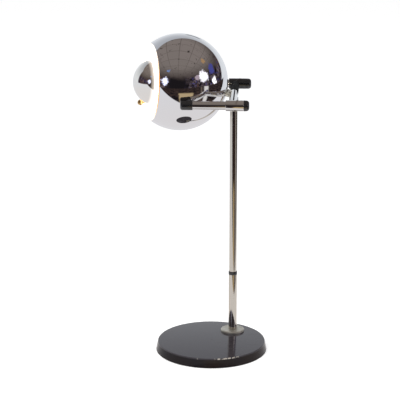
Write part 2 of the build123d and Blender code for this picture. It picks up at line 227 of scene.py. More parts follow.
def tube_outline(r, wall, start, end):
    """A plain tube with square ends."""
    return [(r, start), (r, end), (r - wall, end), (r - wall, start), (r, start)]


def ring_outline(bore, r, start, end, edge, steps):
    """A thick ring with both outer edges rounded."""
    outline = [(bore, start)] + arc(r - edge, start + edge, edge, -90, 0, steps)
    outline += arc(r - edge, end - edge, edge, 0, 90, steps)
    return outline + [(bore, end), (bore, start)]


def turned(name, outline, sides, smooth=smooth_deg):
    """A turned piece on the Z axis: one ring, extruded and resized along the outline."""
    nothing_selected()
    bpy.ops.mesh.primitive_circle_add(vertices=sides, radius=outline[0][0])
    obj = bpy.context.object
    obj.name = name
    obj.data.name = name
    bpy.ops.object.mode_set(mode="EDIT")
    bpy.ops.mesh.select_mode(type="EDGE")
    bpy.ops.mesh.select_all(action="SELECT")
    bpy.ops.transform.translate(value=(0, 0, outline[0][1]))
    for (was_r, was_z), (r, z) in zip(outline, outline[1:]):
        bpy.ops.mesh.extrude_region_move(TRANSFORM_OT_translate={"value": (0, 0, z - was_z)})
        share = r / was_r
        bpy.ops.transform.resize(value=(share, share, 1), center_override=(0, 0, z))
    bpy.ops.mesh.select_all(action="SELECT")
    bpy.ops.mesh.remove_doubles(threshold=turned_weld)
    bpy.ops.mesh.fill_holes(sides=0)
    bpy.ops.mesh.select_all(action="SELECT")
    bpy.ops.mesh.normals_make_consistent(inside=False)
    bpy.ops.object.mode_set(mode="OBJECT")
    smoothed(smooth)
    return obj


def cut(through, across, **options):
    """Cuts the whole mesh along a plane."""
    bpy.ops.mesh.select_all(action="SELECT")
    bpy.ops.mesh.bisect(plane_co=through, plane_no=across, **options)


def bevelled(obj, width, segments):
    picked(obj)
    bevel = obj.modifiers.new("edge", "BEVEL")
    bevel.width = width
    bevel.segments = segments
    bevel.limit_method = "ANGLE"
    bevel.angle_limit = math.radians(bevel_deg)
    bpy.ops.object.modifier_apply(modifier=bevel.name)
    smoothed()
    return obj


def walled(obj, thickness):
    """Gives an open skin its wall, inwards from its outer face."""
    picked(obj)
    wall = obj.modifiers.new("wall", "SOLIDIFY")
    wall.thickness = thickness
    wall.offset = -1.0
    bpy.ops.object.modifier_apply(modifier=wall.name)
    smoothed()
    return obj


def placed(obj, place):
    """Puts the place into the mesh, so that the finished object sits at the origin unturned."""
    picked(obj)
    obj.matrix_world = place
    bpy.ops.object.transform_apply(location=True, rotation=True, scale=True)
    return obj


done = set()


def dressed(obj, node, material):
    """The piece stands for its node: it takes the node's body and the given finish, and the node's own mesh is
    hidden.
    """
    obj.data.materials.clear()
    obj.data.materials.append(material)
    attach(obj, body_of[node])
    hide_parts(node)
    done.add(node)
    return obj


def turned_piece(name, node, outline, sides, place, material):
    dressed(placed(turned(name, outline, sides), place), node, material)


def radius_of(node, axis="x"):
    """Half the width of a round node's box."""
    low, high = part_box(node)
    return (getattr(high, axis) - getattr(low, axis)) / 2


def ends_of(node):
    """Where a piece of a bar starts and ends along X, counted from the pole's axis."""
    low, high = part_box(node)
    return low.x - pole_x, high.x - pole_x


def along_x(y):
    """The place of a piece turned on Z and laid along X at the head's height."""
    return Matrix.Translation((pole_x, y, head_z)) @ Matrix.Rotation(math.radians(90), 4, "Y")


ball_axes = Matrix((tilt_dir.cross(look), tilt_dir, look)).transposed().to_4x4()
ball_place = Matrix.Translation(ball_centre) @ ball_axes
pole_place = Matrix.Translation((pole_x, pole_y, 0))
cross_place = Matrix.Translation((pole_x, pole_y, head_z)) @ Matrix.Rotation(math.radians(90), 4, "X")
pole_bore = radius_of("upper_tube") + sliding_gap


# Shader helpers

def wire(tree, source, target):
    tree.links.new(source, target)


def feed(tree, socket, value):
    """A socket takes another node's output, a colour or a plain number."""
    if isinstance(value, bpy.types.NodeSocket):
        wire(tree, value, socket)
    elif socket.type == "RGBA":
        socket.default_value = (*value, 1.0)
    else:
        socket.default_value = value


def set_inputs(tree, node, **values):
    """Feeds a node's inputs by name. An underscore stands for a space."""
    for key, value in values.items():
        feed(tree, node.inputs[key.replace("_", " ")], value)
    return node


def add_node(tree, kind, **values):
    return set_inputs(tree, tree.nodes.new(kind), **values)


def object_place(tree):
    return add_node(tree, "ShaderNodeTexCoord").outputs["Object"]


def axes_of(tree, place):
    return add_node(tree, "ShaderNodeSeparateXYZ", Vector=place).outputs


def sums(tree, kind, *values):
    """One step of arithmetic on numbers."""
    made = add_node(tree, "ShaderNodeMath")
    made.operation = kind
    for socket, value in zip(made.inputs, values):
        feed(tree, socket, value)
    return made.outputs["Value"]


def vector_sums(tree, kind, *values):
    """One step of arithmetic on places and directions."""
    made = add_node(tree, "ShaderNodeVectorMath")
    made.operation = kind
    for socket, value in zip(made.inputs, values):
        feed(tree, socket, value)
    return made.outputs["Value" if kind in ("DOT_PRODUCT", "LENGTH") else "Vector"]


def along(tree, place, direction):
    """How far a place lies along a direction."""
    return vector_sums(tree, "DOT_PRODUCT", place, direction)


def from_axis(tree, place):
    """The distance of a place from the upright axis."""
    return vector_sums(tree, "LENGTH", vector_sums(tree, "MULTIPLY", place, (1.0, 1.0, 0.0)))


def ramp(tree, value, low, high, start=0.0, end=1.0):
    made = add_node(tree, "ShaderNodeMapRange", Value=value, From_Min=low, From_Max=high,
                    To_Min=start, To_Max=end)
    return made.outputs["Result"]


def soft_step(tree, value, low, high):
    made = add_node(tree, "ShaderNodeMapRange", Value=value, From_Min=low, From_Max=high)
    made.interpolation_type = "SMOOTHSTEP"
    return made.outputs["Result"]


def mix(tree, mask, low, high):
    """A colour that goes from one to another as the mask rises."""
    made = add_node(tree, "ShaderNodeMix")
    made.data_type = "RGBA"
    set_inputs(tree, made, Factor=mask, A=low, B=high)
    return made.outputs["Result"]


def noise(tree, place, **values):
    return add_node(tree, "ShaderNodeTexNoise", Vector=place, **values).outputs["Fac"]


# Effects that several materials share

def new_group(name, settings, result):
    """A shared effect: its tree, its settings by name, and the socket of its one result."""
    tree = bpy.data.node_groups.new(name, "ShaderNodeTree")
    for setting, value in settings.items():
        made = tree.interface.new_socket(setting, in_out="INPUT", socket_type="NodeSocketFloat")
        made.default_value = value
    tree.interface.new_socket(result, in_out="OUTPUT", socket_type="NodeSocketFloat")
    given = tree.nodes.new("NodeGroupInput").outputs
    return tree, given, tree.nodes.new("NodeGroupOutput").inputs[result]


def make_haze_group():
    """Smudges and fingermarks: a cloudy value between Low and High."""
    tree, given, result = new_group("haze", {"Scale": 20.0, "Low": 0.03, "High": 0.09}, "Value")
    cloud = noise(tree, object_place(tree), Scale=given["Scale"], Detail=5.0, Roughness=0.6)
    wire(tree, ramp(tree, cloud, 0.38, 0.68, given["Low"], given["High"]), result)
    return tree


def make_specks_group():
    """Dust, pits and chips: a mask that is 1 in small irregular spots."""
    tree, given, result = new_group("specks", {"Scale": 300.0, "Level": 0.72, "Soft": 0.02}, "Mask")
    grain = noise(tree, object_place(tree), Scale=given["Scale"], Detail=3.0, Roughness=0.7)
    upper = sums(tree, "ADD", given["Level"], given["Soft"])
    wire(tree, ramp(tree, grain, given["Level"], upper), result)
    return tree


def make_scratch_group():
    """Hairline scratches that run across a face in two directions."""
    tree, given, result = new_group("hairlines", {"Scale": 40.0, "Level": 0.66}, "Mask")
    place = object_place(tree)
    masks = []
    for turn in (0.35, 1.9):
        stretch = add_node(tree, "ShaderNodeMapping", Vector=place, Rotation=(0.2, 0.1, turn),
                           Scale=(1.0, 34.0, 8.0))
        line = noise(tree, stretch.outputs["Vector"], Scale=given["Scale"], Detail=2.0, Roughness=0.5)
        masks.append(sums(tree, "GREATER_THAN", line, given["Level"]))
    wire(tree, sums(tree, "MAXIMUM", *masks), result)
    return tree


def make_lathe_group():
    """Fine turning marks round an upright axis that Centre X and Centre Y place, as a height."""
    settings = {"Centre X": 0.0, "Centre Y": 0.0, "Scale": 900.0}
    tree, given, result = new_group("turning_marks", settings, "Height")
    centre = add_node(tree, "ShaderNodeCombineXYZ", X=given["Centre X"], Y=given["Centre Y"])
    off_axis = vector_sums(tree, "SUBTRACT", object_place(tree), centre.outputs["Vector"])
    rings = add_node(tree, "ShaderNodeTexNoise", Scale=given["Scale"], Detail=2.0)
    rings.noise_dimensions = "1D"
    wire(tree, from_axis(tree, off_axis), rings.inputs["W"])
    wire(tree, rings.outputs["Fac"], result)
    return tree


haze_group = make_haze_group()
specks_group = make_specks_group()
scratch_group = make_scratch_group()
lathe_group = make_lathe_group()


def use_group(tree, group, **values):
    """A shared effect with its own settings."""
    made = tree.nodes.new("ShaderNodeGroup")
    made.node_tree = group
    return set_inputs(tree, made, **values).outputs[0]


def cloudy(tree, scale, low=0.0, high=1.0):
    return use_group(tree, haze_group, Scale=scale, Low=low, High=high)


def bumped(tree, shader, height, distance, strength=1.0):
    bump = add_node(tree, "ShaderNodeBump", Height=height, Distance=distance, Strength=strength)
    wire(tree, bump.outputs["Normal"], shader.inputs["Normal"])


# The materials

def new_material(name, colour, metallic, **fixed):
    made = bpy.data.materials.new(name)
    made.use_nodes = True
    tree = made.node_tree
    shader = tree.nodes["Principled BSDF"]
    set_inputs(tree, shader, Base_Color=colour, Metallic=metallic, **fixed)
    return made, tree, shader


def make_chrome(name, colour, low, high, pit_level):
    """Polished plating with a little haze and a few grey pits."""
    made, tree, shader = new_material(name, colour, 1.0)
    pit_shade = 0.45
    pit_roughness = 0.35
    pits = use_group(tree, specks_group, Scale=420.0, Level=pit_level, Soft=0.015)
    dull = tuple(c * pit_shade for c in colour)
    rough = sums(tree, "MULTIPLY_ADD", pits, pit_roughness, cloudy(tree, 22.0, low, high))
    set_inputs(tree, shader, Base_Color=mix(tree, pits, colour, dull), Roughness=rough)
    return made


def make_satin_steel():
    """The flange's dull steel, with turning marks and brownish stains."""
    made, tree, shader = new_material("satin_steel", (0.8, 0.76, 0.68), 0.85)
    stained = mix(tree, cloudy(tree, 90.0), (0.7, 0.68, 0.6), (0.54, 0.52, 0.45))
    set_inputs(tree, shader, Base_Color=stained, Roughness=cloudy(tree, 60.0, 0.36, 0.52))
    marks = use_group(tree, lathe_group, Centre_X=pole_x, Centre_Y=pole_y, Scale=1500.0)
    bumped(tree, shader, marks, 0.04 * MM, 0.5)
    return made


def make_enamel():
    """Black enamel on the base, with hairlines, dust, and chips at its upper edge."""
    black = (0.009, 0.008, 0.011)
    made, tree, shader = new_material("black_enamel", black, 0.0, IOR=1.52)
    place = object_place(tree)
    at_top = sums(tree, "GREATER_THAN", axes_of(tree, place)["Z"], base_top_z - base_edge * 1.4)
    near_edge = sums(tree, "COMPARE", from_axis(tree, place), base_top_r - base_edge * 0.4, base_edge * 1.1)
    upper_edge = sums(tree, "MULTIPLY", near_edge, at_top)
    knocked = along(tree, place, knock_side)
    level = ramp(tree, knocked, base_top_r * 0.95, base_top_r * 0.99, 0.665, 0.5)
    chips = use_group(tree, specks_group, Scale=260.0, Level=level, Soft=0.01)
    chipped = sums(tree, "MULTIPLY", upper_edge, chips)
    dust = use_group(tree, specks_group, Scale=700.0, Level=0.685, Soft=0.03)
    colour = mix(tree, cloudy(tree, 9.0), black, (0.016, 0.011, 0.009))
    # The top face is painted lighter than the side: a painted sheen, the pale surroundings' reflection put into
    # the colour
    colour = mix(tree, at_top, colour, (0.034, 0.03, 0.036))
    colour = mix(tree, dust, colour, (0.1, 0.095, 0.1))
    colour = mix(tree, chipped, colour, (0.42, 0.38, 0.33))
    lines = use_group(tree, scratch_group, Scale=12.0, Level=0.7)
    rough = sums(tree, "MULTIPLY_ADD", lines, 0.2, cloudy(tree, 14.0, 0.04, 0.11))
    polish = ramp(tree, at_top, 0.0, 1.0, 0.16, 0.5)
    set_inputs(tree, shader, Base_Color=colour, Roughness=rough, Specular_IOR_Level=polish)
    bumped(tree, shader, cloudy(tree, 380.0), 0.03 * MM, 0.35)
    return made


def make_plastic(name, colour, low, high, mark, ior=1.49):
    """Moulded plastic: an even colour with dust and worn spots, and a soft moulding texture."""
    made, tree, shader = new_material(name, colour, 0.0, IOR=ior)
    dust = use_group(tree, specks_group, Scale=900.0, Level=0.68, Soft=0.03)
    set_inputs(tree, shader, Base_Color=mix(tree, dust, colour, mark),
               Roughness=cloudy(tree, 70.0, low, high))
    bumped(tree, shader, cloudy(tree, 600.0), 0.02 * MM, 0.3)
    return made


def make_metal(name, colour, worn, low, high, scale):
    """Bare metal with a cloudy tarnish and hairline scratches."""
    made, tree, shader = new_material(name, colour, 1.0)
    set_inputs(tree, shader, Base_Color=mix(tree, cloudy(tree, scale), colour, worn),
               Roughness=cloudy(tree, scale * 1.7, low, high))
    lines = use_group(tree, scratch_group, Scale=160.0, Level=0.62)
    bumped(tree, shader, lines, 0.02 * MM, 0.4)
    return made


def make_glow(name, colour, warm, strength, low, high):
    """A lit surface: its own colour, and a light that warms towards the shade's rim."""
    made, tree, shader = new_material(name, colour, 0.0, Emission_Strength=strength)
    middle = ball_centre.dot(look)
    to_rim = ramp(tree, along(tree, object_place(tree), look), low + middle, high + middle)
    set_inputs(tree, shader, Emission_Color=mix(tree, to_rim, colour, warm),
               Roughness=cloudy(tree, 40.0, 0.3, 0.45))
    return made


def make_rim_glow():
    """The rolled rim: lit through at the near side, pale elsewhere."""
    made, tree, shader = new_material("lit_rim", (0.75, 0.62, 0.5), 0.0, Emission_Strength=0.55)
    aside = Vector((0, 0, 1)).cross(look).normalized()
    middle = ball_centre.dot(aside)
    to_near = ramp(tree, along(tree, object_place(tree), aside),
                   middle + opening_r * 0.55, middle + opening_r * 0.97)
    set_inputs(tree, shader, Emission_Color=mix(tree, to_near, (1.0, 0.9, 0.8), (0.8, 0.4, 0.15)),
               Base_Color=mix(tree, to_near, (0.9, 0.82, 0.74), (0.62, 0.3, 0.1)),
               Roughness=cloudy(tree, 40.0, 0.3, 0.45))
    return made


def make_crown():
    """The bulb's silvering, thin at its edge so that the lit glass shows through."""
    made = make_chrome("crown_silver", (0.86, 0.84, 0.8), 0.01, 0.04, 0.8)
    tree = made.node_tree
    middle = (ball_centre + look * bulb_ahead).dot(look)
    thin = ramp(tree, along(tree, object_place(tree), look), middle + bulb_r * 0.48, middle + bulb_r * 0.33)
    set_inputs(tree, tree.nodes["Principled BSDF"], Emission_Color=(0.8, 0.7, 0.6), Emission_Strength=thin)
    return made


def make_felt():
    made, tree, shader = new_material("felt", (0.02, 0.03, 0.022), 0.0, Roughness=0.95)
    fibre = cloudy(tree, 500.0)
    set_inputs(tree, shader, Base_Color=mix(tree, fibre, (0.014, 0.02, 0.016), (0.04, 0.055, 0.04)))
    bumped(tree, shader, fibre, 0.3 * MM)
    return made


chrome = make_chrome("ball_chrome", (0.83, 0.83, 0.84), 0.0, 0.035, 0.79)
tube_chrome = make_chrome("tube_chrome", (0.8, 0.79, 0.77), 0.04, 0.1, 0.75)
pole_chrome = make_chrome("pole_chrome", (0.68, 0.64, 0.57), 0.05, 0.13, 0.66)
satin_steel = make_satin_steel()
enamel = make_enamel()
black_plastic = make_plastic("black_plastic", (0.008, 0.008, 0.009), 0.06, 0.13, (0.06, 0.06, 0.057), 1.68)
rubber = make_plastic("black_rubber", (0.016, 0.016, 0.016), 0.6, 0.75, (0.05, 0.05, 0.047), 1.12)
brass = make_metal("brass", (0.75, 0.5, 0.2), (0.36, 0.2, 0.08), 0.16, 0.34, 240.0)
crown_silver = make_crown()
liner_glow = make_glow("lit_lining", (1.0, 0.97, 0.92), (1.0, 0.72, 0.42), 0.75, 0.042, 0.0512)
bulb_glow = make_glow("lit_glass", (1.0, 0.98, 0.94), (1.0, 0.8, 0.55), 1.1, 0.047, 0.056)
rim_glow = make_rim_glow()
slot_finish = {
    "chrome": tube_chrome,
    "satin_steel": satin_steel,
    "black_enamel": enamel,
    "black_plastic": black_plastic,
    "rubber": rubber,
    "brass": brass,
    "white_enamel": liner_glow,
    "glass": bulb_glow,
    "mirror_crown": crown_silver,
    "felt": make_felt(),
    "steel": make_metal("zinc_steel", (0.55, 0.55, 0.54), (0.38, 0.36, 0.33), 0.28, 0.45, 160.0),
    "cast_iron": make_metal("cast_iron", (0.1, 0.1, 0.1), (0.05, 0.045, 0.04), 0.5, 0.7, 90.0),
    "porcelain": make_plastic("porcelain", (0.82, 0.79, 0.72), 0.12, 0.2, (0.5, 0.45, 0.38)),
    "white_plastic": make_plastic("white_plastic", (0.8, 0.77, 0.7), 0.35, 0.5, (0.55, 0.5, 0.42)),
    "nylon": make_plastic("nylon", (0.62, 0.59, 0.52), 0.4, 0.55, (0.4, 0.37, 0.3)),
}


# The shade, the bulb and the knob

def make_ball_skin(name, node, radius, wall, material):
    """A spun shell with its mouth at the front and the stud's slot at its back."""
    nothing_selected()
    bpy.ops.mesh.primitive_uv_sphere_add(segments=ball_sides, ring_count=ball_rings, radius=radius)
    obj = bpy.context.object
    obj.name = name
    obj.data.name = name
    bpy.ops.object.mode_set(mode="EDIT")
    bpy.ops.mesh.select_all(action="SELECT")
    bpy.ops.transform.rotate(value=math.radians(90), orient_axis="X", center_override=(0, 0, 0))
    for y in (-slot_half, slot_half):
        cut((0, y, 0), (0, 1, 0))
    end = math.degrees(guide_half / (ball_r - ball_wall)) + slot_spare_deg
    low = math.radians(rest_angle + tilt_range[0] - end)
    high = math.radians(rest_angle + tilt_range[1] + end)
    for angle in (low, high):
        cut((0, 0, 0), (math.cos(angle), 0, math.sin(angle)))
    cut((0, 0, open_z), (0, 0, 1), clear_outer=True)
    bpy.ops.mesh.select_all(action="DESELECT")
    bpy.ops.mesh.select_mode(type="FACE")
    bpy.ops.object.mode_set(mode="OBJECT")
    for face in obj.data.polygons:
        x, y, z = face.center
        face.select = abs(y) < slot_half and low < math.atan2(x, -z) < high
    bpy.ops.object.mode_set(mode="EDIT")
    bpy.ops.mesh.delete(type="FACE")
    bpy.ops.mesh.select_all(action="SELECT")
    bpy.ops.mesh.remove_doubles(threshold=skin_weld)
    bpy.ops.mesh.normals_make_consistent(inside=False)
    bpy.ops.object.mode_set(mode="OBJECT")
    for vertex in obj.data.vertices:
        if vertex.co.z < open_z - small_weld:
            vertex.co = vertex.co.normalized() * radius
    dressed(placed(walled(obj, wall), ball_place), node, material)


def make_shade():
    make_ball_skin("ball_shell", "shade_ball", ball_r, ball_wall, chrome)
    make_ball_skin("white_lining", "shade_liner", liner_r, liner_wall, liner_glow)
    inner = opening_r - rim_width
    bead_z = open_z + rim_height - rim_bead
    outline = [(opening_r, open_z)] + arc(opening_r - rim_bead, bead_z, rim_bead, 0, 90, 6)
    outline += arc(inner + rim_bead, bead_z, rim_bead, 90, 180, 6)
    outline += [(inner, open_z), (opening_r, open_z)]
    turned_piece("rolled_rim", "shade_rim", outline, rim_sides, ball_place, rim_glow)


def make_bulb():
    """The globe on its neck, and the silver skin over its front."""
    drop = bulb_ahead - neck_join
    join_r = math.sqrt(bulb_r ** 2 - drop ** 2)
    start = math.degrees(math.atan2(-drop, join_r))
    outline = [(neck_r, neck_back), (neck_r, neck_back + neck_straight)]
    outline += arc(0, bulb_ahead, bulb_r, start, 89.9, 72)
    glass = turned("bulb_globe", outline, tube_sides, globe_smooth_deg)
    dressed(placed(glass, ball_place), "bulb_glass", bulb_glow)

    reach = bulb_r + crown_t
    start = math.degrees(math.asin((crown_edge - bulb_ahead) / reach))
    crown = turned("silver_crown", arc(0, bulb_ahead, reach, start, 89.9, 64), tube_sides)
    picked(crown)
    bpy.ops.object.mode_set(mode="EDIT")
    bpy.ops.mesh.select_mode(type="FACE")
    bpy.ops.mesh.select_all(action="DESELECT")
    bpy.ops.object.mode_set(mode="OBJECT")
    for face in crown.data.polygons:
        face.select = len(face.vertices) > lid_corners and face.center.z < crown_edge + MM
    bpy.ops.object.mode_set(mode="EDIT")
    bpy.ops.mesh.delete(type="FACE")
    bpy.ops.object.mode_set(mode="OBJECT")
    walled(crown, crown_wall)
    dressed(placed(crown, ball_place), "bulb_crown", crown_silver)


def make_knob():
    low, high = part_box("switch_knob")
    place = Matrix.Translation((low + high) / 2) @ ball_axes
    outline = [(knob_foot_r, -knob_r)] + arc(0, 0, knob_r, knob_foot_deg, 89.0, 40)
    turned_piece("brass_knob", "switch_knob", outline, knob_sides, place, brass)


# The pole, the cross tube and the bars

def make_pole():
    """Both tubes, the black ring at their joint and the swivel hub on top."""
    tubes = (("inner_tube", "upper_tube", tube_wall), ("outer_tube", "lower_tube", outer_tube_wall))
    for name, node, wall in tubes:
        low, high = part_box(node)
        r = radius_of(node)
        edge = wall * tube_edge_share
        outline = [(r, low.z)] + arc(r - edge, high.z - edge, edge, 0, 90, 4)
        outline += [(r - wall, high.z), (r - wall, low.z), (r, low.z)]
        turned_piece(name, node, outline, tube_sides, pole_place, pole_chrome)

    low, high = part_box("pole_ring")
    r = radius_of("pole_ring")
    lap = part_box("lower_tube")[1].z
    skirt = radius_of("lower_tube")
    outline = [(r, low.z)] + arc(r - ring_bead, high.z - ring_bead, ring_bead, 0, 90, 8)
    outline += [(pole_bore, high.z), (pole_bore, lap), (skirt, lap), (skirt, low.z), (r, low.z)]
    turned_piece("black_ring", "pole_ring", outline, tube_sides, pole_place, black_plastic)

    low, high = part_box("head_hub")
    r = radius_of("head_hub")
    foot = ring_bead * 0.5
    screw_bore = pole_bore * 0.75
    outline = [(pole_bore, low.z)] + arc(r - foot, low.z + foot, foot, -90, 0, 5)
    outline += [(r, high.z - ring_bead)] + arc(r - ring_bead, high.z - ring_bead, ring_bead, 0, 90, 6)
    outline += [(screw_bore, high.z), (screw_bore, pole_high.z), (pole_bore, pole_high.z), (pole_bore, low.z)]
    turned_piece("swivel_hub", "head_hub", outline, cap_sides, pole_place, tube_chrome)


def make_cross_bar():
    """The tube that joins the bars, with a thin black collar on its far half."""
    r = radius_of("cross_tube")
    half = radius_of("cross_tube", "y")
    outline = tube_outline(r, tube_wall, -half, half)
    turned_piece("cross_bar", "cross_tube", outline, tube_sides, cross_place, tube_chrome)
    over = r + collar_wall
    far_end = half - radius_of("far_sleeve", "z") * 0.5
    outline = [(r, -far_end), (over, -far_end)]
    outline += arc(over - collar_edge, -collar_start - collar_edge, collar_edge, 0, 90, 4)
    outline += [(r, -collar_start), (r, -far_end)]
    collar = placed(turned("cross_collar", outline, cap_sides), cross_place)
    collar.data.materials.append(rubber)
    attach(collar, body_of["cross_tube"])


def make_bar(side, sleeve_material):
    """One bar of the cradle: sleeve, rod, tip cap, end ring and domed cap, laid along X."""
    low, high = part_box(side + "_sleeve")
    place = along_x((low.y + high.y) / 2)
    rod_r = radius_of(side + "_rod", "y")
    bore = rod_r + sliding_gap

    front, back = ends_of(side + "_sleeve")
    outline = ring_outline(bore, radius_of(side + "_sleeve", "y"), front, back, sleeve_edge, 5)
    turned_piece(side + "_bar_sleeve", side + "_sleeve", outline, tube_sides, place, sleeve_material)

    front, back = ends_of(side + "_rod")
    outline = tube_outline(rod_r, tube_wall, front, back)
    turned_piece(side + "_bar_rod", side + "_rod", outline, tube_sides, place, tube_chrome)

    front, back = ends_of(side + "_tip_cap")
    r = radius_of(side + "_tip_cap", "z")
    outline = [(bore, back - tip_depth), (bore, back), (r - tip_lip, back)]
    outline += arc(r - tip_lip, back - tip_lip, tip_lip, 90, 0, 4)[1:]
    outline += arc(r - tip_nose, front + tip_nose, tip_nose, 0, -90, 12) + [(point_r, front)]
    turned_piece(side + "_black_tip", side + "_tip_cap", outline, cap_sides, place, black_plastic)

    front, back = ends_of(side + "_end_ring")
    outline = ring_outline(bore, radius_of(side + "_end_ring", "y"), front, back, end_bead, 4)
    turned_piece(side + "_black_ring", side + "_end_ring", outline, cap_sides, place, black_plastic)

    face = ends_of(side + "_end_cap")[1]
    r = radius_of(side + "_end_cap", "y")
    plug_r = bore - end_plug_gap
    outline = [(plug_r, back - end_plug), (plug_r, back), (r, back)]
    outline += arc(r - end_dome, face - end_dome, end_dome, 0, 90, 16) + [(point_r, face)]
    turned_piece(side + "_domed_cap", side + "_end_cap", outline, cap_sides, place, black_plastic)


# The base

def make_base():
    low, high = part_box("base_cover")
    skirt_r = radius_of("base_cover")
    inner = skirt_r - deck_wall
    under = high.z - deck_wall
    outline = [(inner, low.z), (skirt_r - base_foot_edge, low.z), (skirt_r, low.z + base_foot_edge)]
    outline += arc(base_top_r - base_edge, high.z - base_edge, base_edge, 0, 90, 8)
    outline += [(MM, high.z), (MM, under), (base_top_r - deck_wall, under), (inner, low.z)]
    turned_piece("enamelled_base", "base_cover", outline, base_sides, Matrix.Identity(4), enamel)

    low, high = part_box("pole_flange")
    r = radius_of("pole_flange")
    bore = radius_of("lower_tube") + sliding_gap
    outline = [(bore, low.z), (r - flange_foot_edge, low.z), (r, low.z + flange_foot_edge)]
    outline += [(r, high.z - flange_bevel), (r - flange_bevel, high.z), (bore, high.z), (bore, low.z)]
    flange = bevelled(turned("foot_flange", outline, tube_sides), flange_edge, 2)
    dressed(placed(flange, pole_place), "pole_flange", satin_steel)


# The small pieces

def smooth_copy(node, name, material):
    """A small piece of the built lamp, joined up and smoothed."""
    nothing_selected()
    source = frame["nodes"][node]
    obj = source.copy()
    obj.data = source.data.copy()
    obj.name = name
    obj.data.name = name
    for key in list(obj.keys()):
        del obj[key]
    obj.parent = None
    bpy.context.scene.collection.objects.link(obj)
    picked(obj)
    bpy.ops.object.mode_set(mode="EDIT")
    bpy.ops.mesh.select_all(action="SELECT")
    bpy.ops.mesh.remove_doubles(threshold=small_weld)
    bpy.ops.object.mode_set(mode="OBJECT")
    smoothed(small_smooth_deg)
    dressed(obj, node, material)


def dress_the_rest():
    """The small pieces keep their built shape, with smooth faces and their own finish."""
    for node in frame["nodes"]:
        if node not in done:
            smooth_copy(node, node + "_piece", slot_finish[slot_of[node]])


# The room, the floor, the light and the camera

def direction(azimuth, elevation):
    """A direction from angles in degrees, with azimuth 0 towards the front."""
    a = math.radians(azimuth)
    e = math.radians(elevation)
    return Vector((math.sin(a) * math.cos(e), -math.cos(a) * math.cos(e), math.sin(e)))


def cloud(tree, place, scale, detail):
    return noise(tree, place, Scale=scale, Detail=detail, Roughness=0.65)


def backdrop_mask(tree, place, height):
    """Where mirror finishes see the backdrop sheet."""
    facing = along(tree, place, (-sheet_side, sheet_ahead, 0.0))
    below = sums(tree, "SUBTRACT", sums(tree, "MULTIPLY", facing, backdrop_rise), height)
    past_end = soft_step(tree, along(tree, place, sheet_end_side), 0.0, sheet_blur)
    return sums(tree, "MULTIPLY", soft_step(tree, below, 0.0, sheet_blur), past_end)


def backdrop_colour(tree, place, height):
    """The pale sheet, greyer towards its top, with a dark stand in front of it."""
    paper = mix(tree, soft_step(tree, height, 0.0, 0.75), (0.8, 0.83, 0.87), (0.46, 0.48, 0.52))
    sideways = along(tree, place, (math.cos(stand_turn), -math.sin(stand_turn), 0.0))
    across = soft_step(tree, sums(tree, "ABSOLUTE", sideways), stand_half_wide * 1.2, stand_half_wide * 0.8)
    off_middle = sums(tree, "ABSOLUTE", sums(tree, "SUBTRACT", height, stand_height))
    up = soft_step(tree, off_middle, stand_half_tall * 1.2, stand_half_tall * 0.8)
    behind = soft_step(tree, axes_of(tree, place)["Y"], 0.5, 0.6)
    stand = sums(tree, "MULTIPLY", sums(tree, "MULTIPLY", across, up), behind)
    return mix(tree, stand, paper, (0.03, 0.026, 0.03))


def ceiling_colour(tree, place, height):
    """A panelled ceiling, dim towards its edge and stained in places."""
    rise = sums(tree, "MAXIMUM", height, ceiling_low)
    over = add_node(tree, "ShaderNodeCombineXYZ", X=rise, Y=rise, Z=rise)
    flat = vector_sums(tree, "DIVIDE", place, over.outputs["Vector"])
    panels = add_node(tree, "ShaderNodeTexBrick", Vector=flat, Scale=1.0, Mortar_Size=panel_joint,
                      Brick_Width=panel_size, Row_Height=panel_size, Color1=(0.235, 0.2, 0.185),
                      Color2=(0.215, 0.185, 0.17), Mortar=(0.15, 0.125, 0.115))
    panels.offset = 0.0
    lit = soft_step(tree, height, 0.22, 0.8)
    stains = soft_step(tree, cloud(tree, place, 9.0, 5.0), 0.62, 0.68)
    ceiling = mix(tree, lit, (0.05, 0.037, 0.034), panels.outputs["Color"])
    return mix(tree, stains, ceiling, (0.03, 0.022, 0.022))


def clutter_colour(tree, place):
    """Dark clutter round the room, brown and blue in places, and plain dark straight ahead."""
    grey = soft_step(tree, cloud(tree, place, 8.0, 7.0), 0.4, 0.66)
    brown = soft_step(tree, cloud(tree, place, 5.0, 3.0), 0.55, 0.68)
    blue = soft_step(tree, cloud(tree, place, 12.5, 2.0), 0.56, 0.68)
    ahead = soft_step(tree, along(tree, place, (-0.05, -0.99, 0.1)), 0.8, 0.97)
    clutter = mix(tree, grey, (0.008, 0.006, 0.009), (0.17, 0.13, 0.14))
    clutter = mix(tree, brown, clutter, (0.11, 0.055, 0.04))
    clutter = mix(tree, blue, clutter, (0.07, 0.06, 0.2))
    return mix(tree, ahead, clutter, (0.012, 0.01, 0.012))


def with_windows(tree, place, room):
    """Bright windows with ragged edges."""
    ragged = sums(tree, "MULTIPLY", sums(tree, "SUBTRACT", cloud(tree, place, 11.0, 4.0), 0.5), ragged_edge)
    for azimuth, elevation, size, glow in windows:
        aim = sums(tree, "MINIMUM", along(tree, place, direction(azimuth, elevation)), 1.0)
        angle = sums(tree, "ADD", sums(tree, "ARCCOSINE", aim), ragged)
        spot = soft_step(tree, angle, math.radians(size * 1.25), math.radians(size * 0.8))
        room = mix(tree, spot, room, glow)
    return room


